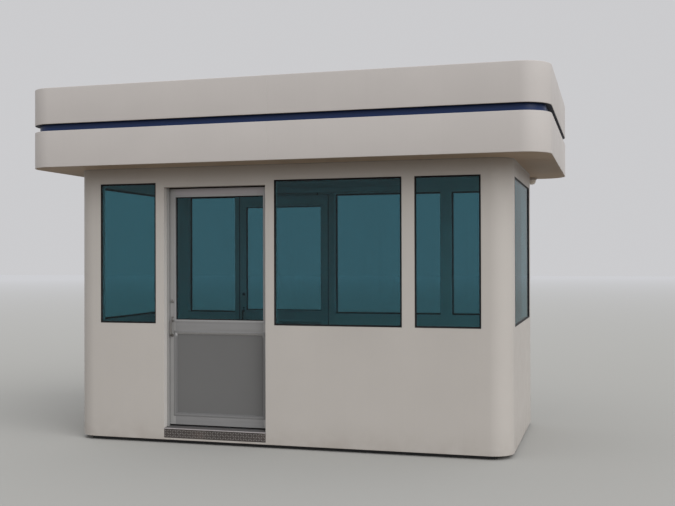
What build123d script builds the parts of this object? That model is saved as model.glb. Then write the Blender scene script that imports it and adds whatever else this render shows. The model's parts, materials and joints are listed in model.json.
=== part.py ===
"""Prefabricated security guard booth with a round-cornered canopy and two sliding doors.

Millimetres. The origin is on the ground at the middle of the booth. +X runs along the front,
+Y from the front to the rear, +Z up. The front and the rear are alike, and so are the two ends.
"""
from build123d import *
import os

# Body of the booth
BOOTH_LENGTH = 3658
BOOTH_DEPTH = 1829
WALL_THICKNESS = 76
CORNER_RADIUS = 170
FLOOR_THICKNESS = 90

# Skids under the walls
SKID_HEIGHT = 30
SKID_WIDTH = 100
SKID_INSET = 45

# Windows and doorway along the front, in order from the left
CORNER_MARGIN = 229
LEFT_WINDOW_WIDTH = 508
DOOR_POST_WIDTH = 76
DOORWAY_WIDTH = 889
MIDDLE_WINDOW_WIDTH = 1041
WINDOW_POST_WIDTH = 102
END_WINDOW_MARGIN = 254

# Heights of the walls: the first two from their foot, the others upwards from the doorway
WINDOW_SILL_HEIGHT = 957
DOORWAY_HEIGHT = 2083
DOOR_HEAD_HEIGHT = 38
HEADER_HEIGHT = 127

# Glazing of the windows
PANE_THICKNESS = 8
GASKET_WIDTH = 9
GASKET_DEPTH = 20
GLAZING_SETBACK = 8

# Canopy
OVERHANG = 305
CANOPY_RADIUS = 220
SOFFIT_THICKNESS = 30
FASCIA_HEIGHT = 300
FASCIA_THICKNESS = 80
FASCIA_EDGE_CHAMFER = 4
REVEAL_HEIGHT = 56
REVEAL_DEPTH = 42
ROOF_DECK_THICKNESS = 30
PARAPET_HEIGHT = 100

# Sill under each doorway
TREAD_PLATE_THICKNESS = 4
TREAD_PLATE_FOOT = 16
THRESHOLD_FRONT_HEIGHT = 6
THRESHOLD_BACK_HEIGHT = 13
THRESHOLD_NOSING = 5

# Sliding door leaf
LEAF_THICKNESS = 45
LEAF_GAP = 6
LEAF_LEFT_LAP = 2
LEAF_RIGHT_LAP = 20
LEAF_TOP_LAP = 27
LEAF_FLOOR_GAP = 13
STILE_WIDTH = 67
TOP_RAIL_HEIGHT = 105
MIDDLE_RAIL_FOOT = 877
MIDDLE_RAIL_HEIGHT = 108
BOTTOM_RAIL_HEIGHT = 86
DOOR_GLASS_THICKNESS = 6
DOOR_PANEL_THICKNESS = 20
PANEL_GROOVE_DEPTH = 12
GLAZING_CLEARANCE = 0.3
GROOVE_END_CLEARANCE = 2
DOOR_TRAVEL = 800

# Jamb beside the closed leaf, and the stop in the doorway that covers its edge
STRIKE_WIDTH = 40
STRIKE_GAP = 10
DOOR_STOP_WIDTH = 17
DOOR_STOP_DEPTH = 24

# Overhead track and the hangers that run in it
TRACK_HEIGHT = 52
TRACK_WALL = 4
TRACK_SLOT = 16
TRACK_CLEARANCE = 25
TRACK_OVERRUN = 50
WHEEL_RADIUS = 15
WHEEL_WIDTH = 8
WHEEL_SPACING = 44
HANGER_BLOCK_WIDTH = 12
HANGER_BLOCK_HEIGHT = 16
HANGER_BOLT_RADIUS = 5
HANGER_INSET = 110
RUNNING_GAP = 0.3

# Guide fin on the floor, in a groove under the leaf
GUIDE_FIN_THICKNESS = 6
GUIDE_FIN_RISE = 12
GUIDE_GROOVE_DEPTH = 20
GUIDE_CLEARANCE = 5
GUIDE_FOOT_WIDTH = 30
GUIDE_FOOT_THICKNESS = 4

# Pull handle, lock cylinder and night latch on the left stile
PULL_FOOT_HEIGHT = 856
PULL_HEAD_HEIGHT = 978
PULL_BAR_WIDTH = 16
PULL_BAR_THICKNESS = 8
PULL_REACH = 34
PULL_BEND_RADIUS = 18
PULL_INSET = 40
LOCK_HEIGHT = 1140
LOCK_RADIUS = 15
LOCK_DEPTH = 9
LATCH_HEIGHT = 1005
LATCH_RADIUS = 10
LATCH_DEPTH = 6

# Light under the rear of the canopy
LIGHT_RADIUS = 48
LIGHT_DROP = 64
LIGHT_LENS_CHAMFER = 22
LIGHT_FROM_END = 6
LIGHT_FROM_REAR = 140

# Places worked out from the sizes above
half_length = BOOTH_LENGTH / 2
half_depth = BOOTH_DEPTH / 2
inner_length = BOOTH_LENGTH - 2 * WALL_THICKNESS
inner_depth = BOOTH_DEPTH - 2 * WALL_THICKNESS
foot = SKID_HEIGHT
floor_z = foot + FLOOR_THICKNESS
sill_z = foot + WINDOW_SILL_HEIGHT
door_head_z = foot + DOORWAY_HEIGHT
head_z = door_head_z + DOOR_HEAD_HEIGHT
soffit_z = head_z + HEADER_HEIGHT

left_window = (-half_length + CORNER_MARGIN, -half_length + CORNER_MARGIN + LEFT_WINDOW_WIDTH)
doorway = (left_window[1] + DOOR_POST_WIDTH, left_window[1] + DOOR_POST_WIDTH + DOORWAY_WIDTH)
middle_window = (doorway[1] + DOOR_POST_WIDTH, doorway[1] + DOOR_POST_WIDTH + MIDDLE_WINDOW_WIDTH)
right_window = (middle_window[1] + WINDOW_POST_WIDTH, half_length - CORNER_MARGIN)
long_wall_windows = (left_window, middle_window, right_window)
end_window = (-half_depth + END_WINDOW_MARGIN, half_depth - END_WINDOW_MARGIN)

outer_face = -half_depth
inner_face = outer_face + WALL_THICKNESS
long_wall = (outer_face, inner_face)
end_wall = (-half_length, -half_length + WALL_THICKNESS)

canopy_length = BOOTH_LENGTH + 2 * OVERHANG
canopy_depth = BOOTH_DEPTH + 2 * OVERHANG
reveal_z = soffit_z + FASCIA_HEIGHT
upper_z = reveal_z + REVEAL_HEIGHT
canopy_top = upper_z + FASCIA_HEIGHT

leaf = (doorway[0] - LEAF_LEFT_LAP, doorway[1] + LEAF_RIGHT_LAP)
leaf_y = (inner_face + LEAF_GAP, inner_face + LEAF_GAP + LEAF_THICKNESS)
leaf_middle_y = (leaf_y[0] + leaf_y[1]) / 2
nosing_y = outer_face - THRESHOLD_NOSING
threshold_front = floor_z + THRESHOLD_FRONT_HEIGHT
threshold_top = floor_z + THRESHOLD_BACK_HEIGHT
leaf_z = (threshold_top + LEAF_FLOOR_GAP, door_head_z + LEAF_TOP_LAP)
track_z = leaf_z[1] + TRACK_CLEARANCE
hanger_x = (leaf[0] + HANGER_INSET, leaf[1] - HANGER_INSET)

os.makedirs("parts", exist_ok=True)


def save(piece, name):
    """Label a finished piece and write its file."""
    piece.part.label = name
    export_step(piece.part, f"parts/{name}.step")


def slabs(boxes):
    """Plain slabs that don't touch, each given by its spans along X, Y and Z."""
    with BuildPart() as piece:
        for x, y, z in boxes:
            with BuildSketch(Plane.XY.offset(z[0])):
                with Locations(((x[0] + x[1]) / 2, (y[0] + y[1]) / 2)):
                    Rectangle(x[1] - x[0], y[1] - y[0])
            extrude(amount=z[1] - z[0])
    return piece


def swapped(piece, plane):
    """The same piece on the opposite side of the booth."""
    with BuildPart() as opposite:
        mirror(piece.part, about=plane)
    return opposite


def save_front_and_rear(piece, name):
    """Write a piece of the front wall, and its twin in the rear wall."""
    save(piece, f"front_{name}")
    save(swapped(piece, Plane.XZ), f"rear_{name}")


def save_left_and_right(piece, name):
    """Write a piece of the left end, and its twin in the right end."""
    save(piece, f"left_{name}")
    save(swapped(piece, Plane.YZ), f"right_{name}")


def with_twin(piece, plane):
    """A piece and its twin on the opposite side, as one set of like pieces."""
    with BuildPart() as pair:
        add(piece.part)
        mirror(piece.part, about=plane)
    return pair


# Skids
def skid_lane(middle_y):
    """Span across one skid."""
    return (middle_y - SKID_WIDTH / 2, middle_y + SKID_WIDTH / 2)


skid_x = (-half_length + SKID_INSET + CORNER_RADIUS / 2, half_length - SKID_INSET - CORNER_RADIUS / 2)
outer_skid_y = half_depth - SKID_INSET - SKID_WIDTH / 2
skids = slabs([(skid_x, skid_lane(y), (0, foot)) for y in (-outer_skid_y, 0, outer_skid_y)])
save(skids, "base_skids")

# Floor
with BuildPart() as floor_deck:
    with BuildSketch(Plane.XY.offset(foot)):
        RectangleRounded(inner_length, inner_depth, CORNER_RADIUS - WALL_THICKNESS)
    extrude(amount=FLOOR_THICKNESS)
save(floor_deck, "floor_deck")


# Round corners
def corner(side_x, side_y):
    """Full-height corner of the wall, out to the windows on both sides of it."""
    with BuildPart() as piece:
        with BuildSketch(Plane.XY.offset(foot)):
            RectangleRounded(BOOTH_LENGTH, BOOTH_DEPTH, CORNER_RADIUS)
            RectangleRounded(
                inner_length, inner_depth, CORNER_RADIUS - WALL_THICKNESS, mode=Mode.SUBTRACT
            )
            middle_x = side_x * (half_length - CORNER_MARGIN / 2)
            middle_y = side_y * (half_depth - END_WINDOW_MARGIN / 2)
            with Locations((middle_x, middle_y)):
                Rectangle(CORNER_MARGIN, END_WINDOW_MARGIN, mode=Mode.INTERSECT)
        extrude(amount=soffit_z - foot)
    return piece


for side_y, row in ((-1, "front"), (1, "rear")):
    for side_x, hand in ((-1, "left"), (1, "right")):
        save(corner(side_x, side_y), f"{row}_{hand}_corner")

# Long walls
low_walls = slabs(
    [
        ((left_window[0], doorway[0]), long_wall, (foot, sill_z)),
        ((doorway[1], right_window[1]), long_wall, (foot, sill_z)),
    ]
)
save_front_and_rear(low_walls, "low_walls")

window_posts = slabs(
    [
        ((left_window[1], doorway[0]), long_wall, (sill_z, head_z)),
        ((doorway[1], middle_window[0]), long_wall, (sill_z, head_z)),
        ((middle_window[1], right_window[0]), long_wall, (sill_z, head_z)),
    ]
)
save_front_and_rear(window_posts, "window_posts")

door_head = slabs([(doorway, long_wall, (door_head_z, head_z))])
save(with_twin(door_head, Plane.XZ), "door_heads")

# Low wall under each doorway, with a shallow seat for the tread plate
tread_z = (foot + TREAD_PLATE_FOOT, floor_z)
with BuildPart() as door_sill:
    with BuildSketch(Plane.YZ.offset(doorway[0])):
        with BuildLine():
            Polyline(
                (outer_face, foot),
                (inner_face, foot),
                (inner_face, floor_z),
                (outer_face + TREAD_PLATE_THICKNESS, floor_z),
                (outer_face + TREAD_PLATE_THICKNESS, tread_z[0]),
                (outer_face, tread_z[0]),
                close=True,
            )
        make_face()
    extrude(amount=DOORWAY_WIDTH)
save(with_twin(door_sill, Plane.XZ), "door_sills")

tread_plate = slabs([(doorway, (outer_face, outer_face + TREAD_PLATE_THICKNESS), tread_z)])
save(with_twin(tread_plate, Plane.XZ), "tread_plates")

# Threshold that slopes up from its nosing to the inside
with BuildPart() as threshold:
    with BuildSketch(Plane.YZ.offset(doorway[0])):
        with BuildLine():
            Polyline(
                (nosing_y, floor_z),
                (leaf_y[1], floor_z),
                (leaf_y[1], threshold_top),
                (inner_face, threshold_top),
                (nosing_y, threshold_front),
                close=True,
            )
        make_face()
    extrude(amount=DOORWAY_WIDTH)
save(with_twin(threshold, Plane.XZ), "thresholds")

# Ends
end_low_wall = slabs([(end_wall, end_window, (foot, sill_z))])
save_left_and_right(end_low_wall, "low_wall")

# Headers over the windows and doorways, one in each wall
long_header = slabs([((left_window[0], right_window[1]), long_wall, (head_z, soffit_z))])
end_header = slabs([(end_wall, end_window, (head_z, soffit_z))])
with BuildPart() as wall_headers:
    add(with_twin(long_header, Plane.XZ).part)
    add(with_twin(end_header, Plane.YZ).part)
save(wall_headers, "wall_headers")


# Window panes and their gaskets
def panes(plane, spans):
    """Panes set in from the wall face, inside their gaskets."""
    with BuildPart() as piece:
        with BuildSketch(plane.offset(-GLAZING_SETBACK)):
            for span in spans:
                with Locations(((span[0] + span[1]) / 2, (sill_z + head_z) / 2)):
                    Rectangle(
                        span[1] - span[0] - 2 * GASKET_WIDTH, head_z - sill_z - 2 * GASKET_WIDTH
                    )
        extrude(amount=-PANE_THICKNESS)
    return piece


def gaskets(plane, spans):
    """Black rubber rings between the panes and the wall."""
    with BuildPart() as piece:
        with BuildSketch(plane):
            for span in spans:
                with Locations(((span[0] + span[1]) / 2, (sill_z + head_z) / 2)):
                    Rectangle(span[1] - span[0], head_z - sill_z)
                    Rectangle(
                        span[1] - span[0] - 2 * GASKET_WIDTH,
                        head_z - sill_z - 2 * GASKET_WIDTH,
                        mode=Mode.SUBTRACT,
                    )
        extrude(amount=-GASKET_DEPTH)
    return piece


front_plane = Plane(origin=(0, outer_face, 0), x_dir=(1, 0, 0), z_dir=(0, -1, 0))
left_plane = Plane(origin=(-half_length, 0, 0), x_dir=(0, -1, 0), z_dir=(-1, 0, 0))
save_front_and_rear(panes(front_plane, long_wall_windows), "window_panes")
save_left_and_right(panes(left_plane, (end_window,)), "window_pane")
with BuildPart() as window_gaskets:
    add(with_twin(gaskets(front_plane, long_wall_windows), Plane.XZ).part)
    add(with_twin(gaskets(left_plane, (end_window,)), Plane.YZ).part)
save(window_gaskets, "window_gaskets")


# Canopy
def canopy_outline(inset):
    """Length, depth and corner radius of the canopy's outline, set in by some distance."""
    return (canopy_length - 2 * inset, canopy_depth - 2 * inset, CANOPY_RADIUS - inset)


def canopy_ring(foot_height, height, inset):
    """Upright band round the canopy."""
    with BuildPart() as piece:
        with BuildSketch(Plane.XY.offset(foot_height)):
            RectangleRounded(*canopy_outline(inset))
            RectangleRounded(*canopy_outline(FASCIA_THICKNESS), mode=Mode.SUBTRACT)
        extrude(amount=height)
    return piece


def fascia(foot_height):
    """Band of the canopy with softened outer edges."""
    with BuildPart() as piece:
        with BuildSketch(Plane.XY.offset(foot_height)):
            RectangleRounded(*canopy_outline(0))
        extrude(amount=FASCIA_HEIGHT)
        chamfer(piece.edges().filter_by(Axis.Z, reverse=True), FASCIA_EDGE_CHAMFER)
        with BuildSketch(Plane.XY.offset(foot_height)):
            RectangleRounded(*canopy_outline(FASCIA_THICKNESS))
        extrude(amount=FASCIA_HEIGHT, mode=Mode.SUBTRACT)
    return piece


with BuildPart() as soffit:
    with BuildSketch(Plane.XY.offset(soffit_z)):
        RectangleRounded(*canopy_outline(FASCIA_THICKNESS))
    extrude(amount=SOFFIT_THICKNESS)
save(soffit, "soffit_panel")

save(fascia(soffit_z), "lower_fascia")
save(canopy_ring(reveal_z, REVEAL_HEIGHT, REVEAL_DEPTH), "reveal_band")
save(fascia(upper_z), "upper_fascia")

deck_z = canopy_top - PARAPET_HEIGHT - ROOF_DECK_THICKNESS
with BuildPart() as roof_deck:
    with BuildSketch(Plane.XY.offset(deck_z)):
        RectangleRounded(*canopy_outline(FASCIA_THICKNESS))
    extrude(amount=ROOF_DECK_THICKNESS)
save(roof_deck, "roof_deck")

# Light under the canopy, at its rear right corner
light_plane = Plane(
    origin=(half_length - LIGHT_FROM_END, half_depth + LIGHT_FROM_REAR, soffit_z), z_dir=(0, 0, -1)
)
with BuildPart() as soffit_light:
    with BuildSketch(light_plane):
        Circle(LIGHT_RADIUS)
    extrude(amount=LIGHT_DROP)
    chamfer(soffit_light.faces().sort_by(Axis.Z)[0].edges(), LIGHT_LENS_CHAMFER)
save(soffit_light, "soffit_light")


# Sliding door leaf
glass_groove = DOOR_GLASS_THICKNESS + 2 * GLAZING_CLEARANCE
panel_groove = DOOR_PANEL_THICKNESS + 2 * GLAZING_CLEARANCE
guide_groove = GUIDE_FIN_THICKNESS + 2 * GUIDE_CLEARANCE
rail_x = (leaf[0] + STILE_WIDTH, leaf[1] - STILE_WIDTH)
rail_length = rail_x[1] - rail_x[0]
middle_rail_z = (foot + MIDDLE_RAIL_FOOT, foot + MIDDLE_RAIL_FOOT + MIDDLE_RAIL_HEIGHT)
top_rail_z = (leaf_z[1] - TOP_RAIL_HEIGHT, leaf_z[1])
bottom_rail_z = (leaf_z[0], leaf_z[0] + BOTTOM_RAIL_HEIGHT)


# Stiles: a groove for each sheet on the inner edge, and one across the foot for the floor guide
with BuildPart() as door_stiles:
    for x, inward in ((leaf[0] + STILE_WIDTH / 2, 1), (leaf[1] - STILE_WIDTH / 2, -1)):
        stile_groove_x = x + inward * (STILE_WIDTH - PANEL_GROOVE_DEPTH) / 2
        with BuildSketch(Plane.XY.offset(leaf_z[0])):
            with Locations((x, leaf_middle_y)):
                Rectangle(STILE_WIDTH, LEAF_THICKNESS)
        extrude(amount=leaf_z[1] - leaf_z[0])
        with BuildSketch(Plane.XY.offset(middle_rail_z[1] - PANEL_GROOVE_DEPTH)):
            with Locations((stile_groove_x, leaf_middle_y)):
                Rectangle(PANEL_GROOVE_DEPTH, glass_groove)
        extrude(
            amount=top_rail_z[0] - middle_rail_z[1] + 2 * PANEL_GROOVE_DEPTH, mode=Mode.SUBTRACT
        )
        with BuildSketch(Plane.XY.offset(bottom_rail_z[1] - PANEL_GROOVE_DEPTH)):
            with Locations((stile_groove_x, leaf_middle_y)):
                Rectangle(PANEL_GROOVE_DEPTH, panel_groove)
        extrude(
            amount=middle_rail_z[0] - bottom_rail_z[1] + 2 * PANEL_GROOVE_DEPTH, mode=Mode.SUBTRACT
        )
        with BuildSketch(Plane.XY.offset(leaf_z[0])):
            with Locations((x, leaf_middle_y)):
                Rectangle(STILE_WIDTH, guide_groove)
        extrude(amount=GUIDE_GROOVE_DEPTH, mode=Mode.SUBTRACT)
save_front_and_rear(door_stiles, "door_stiles")

# Rails: each is an extrusion along X with a groove in its upper or lower edge
with BuildPart() as door_rails:
    rails = (
        (top_rail_z, ((-1, glass_groove, PANEL_GROOVE_DEPTH),)),
        (
            middle_rail_z,
            ((1, glass_groove, PANEL_GROOVE_DEPTH), (-1, panel_groove, PANEL_GROOVE_DEPTH)),
        ),
        (
            bottom_rail_z,
            ((1, panel_groove, PANEL_GROOVE_DEPTH), (-1, guide_groove, GUIDE_GROOVE_DEPTH)),
        ),
    )
    for rail_z, grooves in rails:
        middle_z = (rail_z[0] + rail_z[1]) / 2
        with BuildSketch(Plane.YZ.offset(rail_x[0])):
            with Locations((leaf_middle_y, middle_z)):
                Rectangle(LEAF_THICKNESS, rail_z[1] - rail_z[0])
            for upward, groove, depth in grooves:
                with Locations((leaf_middle_y, middle_z + upward * (rail_z[1] - rail_z[0] - depth) / 2)):
                    Rectangle(groove, depth, mode=Mode.SUBTRACT)
        extrude(amount=rail_length)
save_front_and_rear(door_rails, "door_rails")


# Sheets that sit in the grooves of the leaf
def leaf_sheet(low_z, high_z, thickness):
    """Sheet that reaches into the grooves round it."""
    seat = PANEL_GROOVE_DEPTH - GROOVE_END_CLEARANCE
    return slabs(
        [
            (
                (rail_x[0] - seat, rail_x[1] + seat),
                (leaf_middle_y - thickness / 2, leaf_middle_y + thickness / 2),
                (low_z - seat, high_z + seat),
            )
        ]
    )


door_glass = leaf_sheet(middle_rail_z[1], top_rail_z[0], DOOR_GLASS_THICKNESS)
save_front_and_rear(door_glass, "door_glass")
door_panel = leaf_sheet(bottom_rail_z[1], middle_rail_z[0], DOOR_PANEL_THICKNESS)
save_front_and_rear(door_panel, "door_panel")

# Pull handles, one on each face of the leaf
pull_x = leaf[0] + PULL_INSET
with BuildPart() as door_pull:
    for face_y, outward in ((leaf_y[0], -1), (leaf_y[1], 1)):
        low = Vector(pull_x, face_y, foot + PULL_FOOT_HEIGHT)
        high = Vector(pull_x, face_y, foot + PULL_HEAD_HEIGHT)
        reach = Vector(0, outward * PULL_REACH, 0)
        with BuildLine():
            FilletPolyline(low, low + reach, high + reach, high, radius=PULL_BEND_RADIUS)
        with BuildSketch(Plane(origin=low, x_dir=(1, 0, 0), z_dir=(0, outward, 0))):
            Rectangle(PULL_BAR_WIDTH, PULL_BAR_THICKNESS)
        sweep()
save_front_and_rear(door_pull, "door_pull")

# Lock cylinder and night latch, through the stile
with BuildPart() as door_lock:
    for face_y, outward in ((leaf_y[0], -1), (leaf_y[1], 1)):
        for height, radius, depth in (
            (LOCK_HEIGHT, LOCK_RADIUS, LOCK_DEPTH),
            (LATCH_HEIGHT, LATCH_RADIUS, LATCH_DEPTH),
        ):
            with BuildSketch(Plane(origin=(pull_x, face_y, foot + height), z_dir=(0, outward, 0))):
                Circle(radius)
            extrude(amount=depth, taper=12)
save_front_and_rear(door_lock, "door_lock")

# Jamb that the closed leaf meets, on the inside of the wall, and the stop in the doorway,
# which stands on the slope of the threshold
strike_x = (leaf[0] - STRIKE_GAP - STRIKE_WIDTH, leaf[0] - STRIKE_GAP)
stop_y = inner_face - DOOR_STOP_DEPTH
threshold_slope = (threshold_top - threshold_front) / (inner_face - nosing_y)
with BuildPart() as strike_jamb:
    add(slabs([(strike_x, (inner_face, leaf_y[1]), (floor_z, leaf_z[1]))]).part)
    with BuildSketch(Plane.YZ.offset(doorway[0])):
        with BuildLine():
            Polyline(
                (inner_face, threshold_top),
                (inner_face, door_head_z),
                (stop_y, door_head_z),
                (stop_y, threshold_top - threshold_slope * DOOR_STOP_DEPTH),
                close=True,
            )
        make_face()
    extrude(amount=DOOR_STOP_WIDTH)
save(with_twin(strike_jamb, Plane.XZ), "strike_jambs")

# Overhead track: a box with a slot along its floor
track_x = (hanger_x[0] - TRACK_OVERRUN, hanger_x[1] + DOOR_TRAVEL + TRACK_OVERRUN)
track_width = 2 * (leaf_middle_y - inner_face)
with BuildPart() as door_track:
    with BuildSketch(Plane.YZ.offset(track_x[0])):
        with Locations((leaf_middle_y, track_z + TRACK_HEIGHT / 2)):
            Rectangle(track_width, TRACK_HEIGHT)
            Rectangle(track_width - 2 * TRACK_WALL, TRACK_HEIGHT - 2 * TRACK_WALL, mode=Mode.SUBTRACT)
        with Locations((leaf_middle_y, track_z + TRACK_WALL / 2)):
            Rectangle(TRACK_SLOT, TRACK_WALL, mode=Mode.SUBTRACT)
    extrude(amount=track_x[1] - track_x[0])
save_front_and_rear(door_track, "door_track")

# Hangers: a bolt up from the leaf, a block above the slot and four wheels on its sides
wheel_z = track_z + TRACK_WALL + RUNNING_GAP + WHEEL_RADIUS
with BuildPart() as door_hangers:
    for x in hanger_x:
        with BuildSketch(Plane.XY.offset(wheel_z - HANGER_BLOCK_HEIGHT / 2)):
            with Locations((x, leaf_middle_y)):
                Rectangle(WHEEL_SPACING + WHEEL_RADIUS, HANGER_BLOCK_WIDTH)
        extrude(amount=HANGER_BLOCK_HEIGHT)
        with BuildSketch(Plane.XY.offset(leaf_z[1])):
            with Locations((x, leaf_middle_y)):
                Circle(HANGER_BOLT_RADIUS)
        extrude(amount=wheel_z - leaf_z[1])
        for side in (-1, 1):
            block_side = (x, leaf_middle_y + side * HANGER_BLOCK_WIDTH / 2, wheel_z)
            with BuildSketch(Plane(origin=block_side, x_dir=(1, 0, 0), z_dir=(0, side, 0))):
                with GridLocations(WHEEL_SPACING, 0, 2, 1):
                    Circle(WHEEL_RADIUS)
            extrude(amount=WHEEL_WIDTH)
save_front_and_rear(door_hangers, "door_hangers")

# Floor guide: a foot on the floor with a fin up into the groove under the leaf
with BuildPart() as floor_guide:
    with BuildSketch(Plane.YZ.offset(doorway[1])):
        with Locations((leaf_middle_y, floor_z + GUIDE_FOOT_THICKNESS / 2)):
            Rectangle(GUIDE_FOOT_WIDTH, GUIDE_FOOT_THICKNESS)
        with Locations((leaf_middle_y, (floor_z + leaf_z[0] + GUIDE_FIN_RISE) / 2)):
            Rectangle(GUIDE_FIN_THICKNESS, leaf_z[0] + GUIDE_FIN_RISE - floor_z)
    extrude(amount=leaf[1] - doorway[1])
save(with_twin(floor_guide, Plane.XZ), "floor_guides")
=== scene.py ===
"""Looks of the security guard booth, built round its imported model, in metres in the model's frame.

The front faces -Y, +X runs along it to the right, and +Z is up. The rear is the front's twin,
and the right end is the left one's.
"""

import json
import math

import bmesh
import bpy
from mathutils import Matrix, Vector


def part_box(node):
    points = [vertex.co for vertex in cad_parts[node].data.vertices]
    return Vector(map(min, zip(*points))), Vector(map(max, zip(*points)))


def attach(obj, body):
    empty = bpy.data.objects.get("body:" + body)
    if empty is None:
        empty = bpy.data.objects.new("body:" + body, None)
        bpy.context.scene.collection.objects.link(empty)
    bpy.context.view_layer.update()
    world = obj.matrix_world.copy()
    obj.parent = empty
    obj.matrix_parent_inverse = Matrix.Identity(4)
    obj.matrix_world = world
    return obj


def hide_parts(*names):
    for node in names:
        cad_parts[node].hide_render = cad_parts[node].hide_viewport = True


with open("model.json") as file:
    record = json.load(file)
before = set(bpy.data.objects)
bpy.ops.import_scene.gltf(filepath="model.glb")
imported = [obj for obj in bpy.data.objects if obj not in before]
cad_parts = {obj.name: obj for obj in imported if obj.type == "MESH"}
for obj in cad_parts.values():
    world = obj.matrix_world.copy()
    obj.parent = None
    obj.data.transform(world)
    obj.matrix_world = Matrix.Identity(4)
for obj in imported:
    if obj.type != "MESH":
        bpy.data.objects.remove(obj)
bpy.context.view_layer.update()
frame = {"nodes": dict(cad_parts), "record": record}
nodes = frame["nodes"]

# Round plan corners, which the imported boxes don't give
CORNER_RADIUS = 0.170
CANOPY_RADIUS = 0.220

# Fineness of the meshes, with angles in degrees
ARC_STEPS = 24
EDGE_STEPS = 6
LIGHT_SIDES = 48
LENS_STEP = 9
COVE_TURNS = (15, 30, 45, 60, 75)
ROUNDED_ABOVE = 35
ROUNDED_SEGMENTS = 2
WELD_DISTANCE = 1e-5
SAME_DEPTH = 1e-6

# Edges and trims
WALL_EDGE = 0.0025
LEAF_EDGE = 0.0008
JAMB_EDGE = 0.0012
SKID_EDGE = 0.002
FASCIA_EDGE_RADIUS = 0.005
FASCIA_SEAM_WIDTH = 0.004
FASCIA_SEAM_DEPTH = 0.0014
REVEAL_EDGE = 0.0015
SEALANT = 0.006
BRUSH_DROP = 0.010
BRUSH_DEPTH = 0.006
SWEEP_GAP = 0.005
CEILING = 0.004

# Window gasket, its section as shares of its width and of the nose or the setback
GASKET_NOSE = 0.0012
GASKET_LIP = 0.0045
GASKET_CLEARANCE = 0.0002
GASKET_NOSE_SHAPE = ((0.08, 0.7), (0.22, 1.0), (0.4, 0.6))
GASKET_SLOPE_SHAPE = ((0.55, 0.12), (0.75, 0.5), (0.95, 0.85))

# Door leaf trims
BEAD_WIDTH = 0.017
BEAD_RISE = 0.0016
BEAD_NOSE = 0.0006
BEAD_GROOVE = 0.0008
BEAD_SLOPE = 0.012
BEAD_SLOPE_STRIP = 4
WEDGE_WIDTH = 0.008
WEDGE_HEIGHT = 0.0045
PULL_HALF_BAR = 0.004
ROSE_RADIUS = 0.0135
ROSE_BORE = 0.004
ROSE_HEIGHT = 0.0025
LOCK_PLUG_SHARE = 0.5
LOCK_PLUG_RISE = 0.97
KEYWAY_WIDTH = 0.0022
KEYWAY_LENGTH_SHARE = 0.6
KEYWAY_HALF_DEPTH = 0.0003

# Tread plate and threshold
TREAD_PITCH = 0.0222
TREAD_MARK_LENGTH = 0.022
TREAD_MARK_WIDTH = 0.0075
TREAD_MARK_HEIGHT = 0.0016
TREAD_MARK_ROOT = 0.0002
TREAD_MARK_SIDES = 10
FLUTE_COUNT = 6
FLUTE_WIDTH = 0.0032
FLUTE_DEPTH = 0.0015
FLUTE_FIRST = 0.16
FLUTE_LAST = 0.74
SILL_FRONT_HEIGHT = 0.006
SILL_NOSE_RADIUS = 0.002
SILL_BACK_EDGE = 0.001
NOSING_SHARE = 0.1

# Roof covering
ROOF_LAP_WIDTH = 0.09
ROOF_LAP_HEIGHT = 0.002
ROOF_LAP_COUNT = 3
ROOF_COVE = 0.035

# Soffit light, as shares of its radius and its drop
LENS_RADIUS_SHARE = 0.8
LENS_FOOT_SHARE = 0.3
LENS_RIM_SHARE = 0.38
LENS_FULLNESS = 0.6

# Camera, fitted to the photograph
CAMERA_PLACE = (2.5545, -8.2107, 1.5110)
CAMERA_YAW = 0.2774
CAMERA_PITCH = 0.0069
CAMERA_ROLL = -0.0028
FOCAL_PIXELS = 966.2
PHOTO_WIDTH = 675
SENSOR_WIDTH = 36

# Paints and finishes, as linear colours
WALL_PAINT = (0.415, 0.391, 0.365)
# Doorway reveals: the wall's paint made lighter, as painted light where the reveals lie in shade
JAMB_LIT_PAINT = (0.52, 0.50, 0.475)
CANOPY_PAINT = (0.44, 0.415, 0.398)
# Soffit paint made browner as painted light: the tint stands in for warm light thrown up from the
# ground
SOFFIT_PAINT_WARM_BOUNCE = (0.49, 0.395, 0.305)
LINING_PAINT = (0.88, 0.88, 0.86)
DIRT = (0.20, 0.165, 0.13)
STRIPE_BLUE = (0.008, 0.024, 0.090)
# Near-black sheet under the upper band in the blue channel: painted shade of the recess
CHANNEL_SHADE_BLACK = (0.008, 0.010, 0.022)
GLASS_TINT = (0.195, 0.373, 0.418)
END_GLASS_TINT = (0.178, 0.365, 0.405)
GASKET_BLACK = (0.010, 0.010, 0.011)
# The stiles' metal is lighter than the rails'. This is in part their brushed tone and in part
# painted light against the jambs' shade on the stiles.
DOOR_METAL = (0.318, 0.315, 0.310)
RAIL_METAL = (0.231, 0.230, 0.230)
# Lighter rail metal towards the door head: painted light on the top rail against the head's shade
RAIL_METAL_LIT_TOP = (0.323, 0.305, 0.312)
BEAD_METAL = (0.31, 0.31, 0.31)
# Cabin-side faces of the leaves: lighter copies of their metal and paint, painted light for the dim
# cabin
CABIN_SIDE_LIT_METAL = (0.72, 0.72, 0.71)
CABIN_SIDE_LIT_PANEL = (0.52, 0.52, 0.51)
# Darker copy of the bead metal for the panel's beads: painted shade beside the recessed panel
PANEL_BEAD_SHADED_METAL = (0.20, 0.20, 0.20)
BEAD_SLOPE_METAL = (0.125, 0.125, 0.125)
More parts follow.
